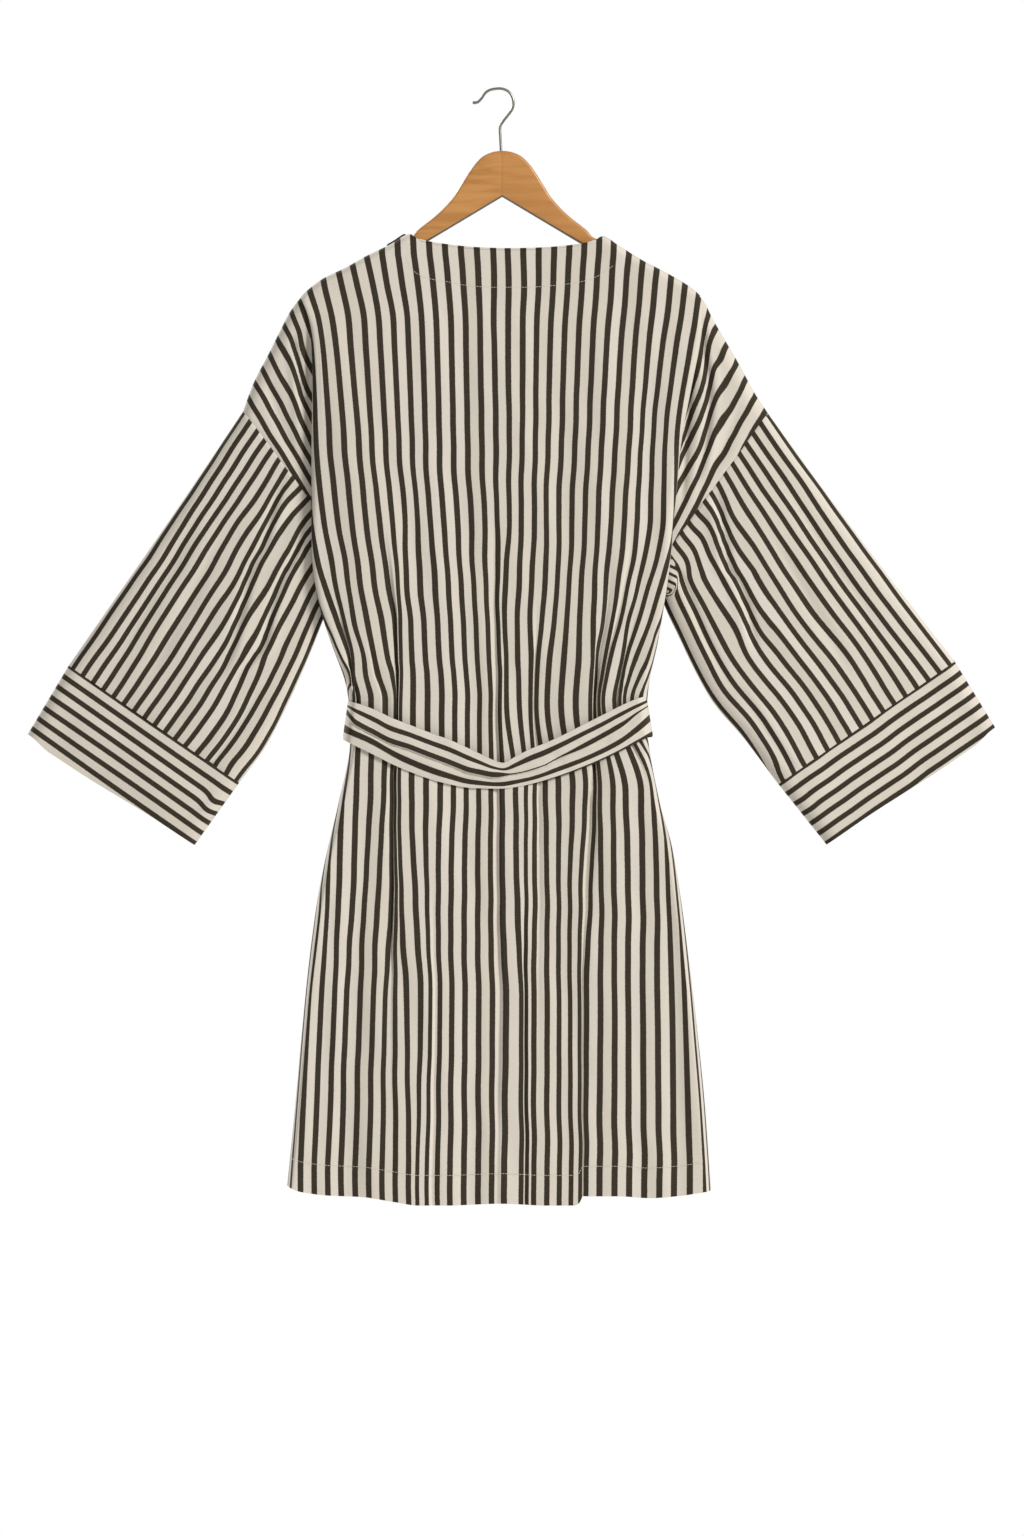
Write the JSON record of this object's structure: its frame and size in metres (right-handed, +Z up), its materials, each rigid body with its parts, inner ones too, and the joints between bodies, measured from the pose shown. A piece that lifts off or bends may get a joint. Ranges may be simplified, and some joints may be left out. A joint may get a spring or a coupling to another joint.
{
  "type": "kimono robe on a wooden hanger",
  "caption": "Knee-length wrap robe with wide drop-shoulder sleeves, deep cuffs and a tied belt, hanging from a shaped wooden hanger with a wire hook.",
  "frame": {"origin": "inner top of the hanger's hook, where a rail or peg holds it", "axes": "+Z up along the hanging robe, +Y out of the robe's wrapped front, so its back faces -Y; -X is the wearer's left"},
  "size_m": [1.064, 0.0733, 1.228],
  "materials": {
    "striped_cotton": "matte woven cotton, cream with thin dark brown stripes",
    "lacquered_wood": "clear satin lacquer",
    "hook_steel": "bright plated wire"
  },
  "bodies": {
    "root": {"back": "striped_cotton", "front_left": "striped_cotton", "front_right": "striped_cotton", "sleeve_left": "striped_cotton", "sleeve_right": "striped_cotton", "cuff_left": "striped_cotton", "cuff_right": "striped_cotton", "belt_band": "striped_cotton", "belt_knot": "striped_cotton", "belt_tail_left": "striped_cotton", "belt_tail_right": "striped_cotton", "hanger_wood": "lacquered_wood", "hanger_hook": "hook_steel"}
  },
  "joints": []
}
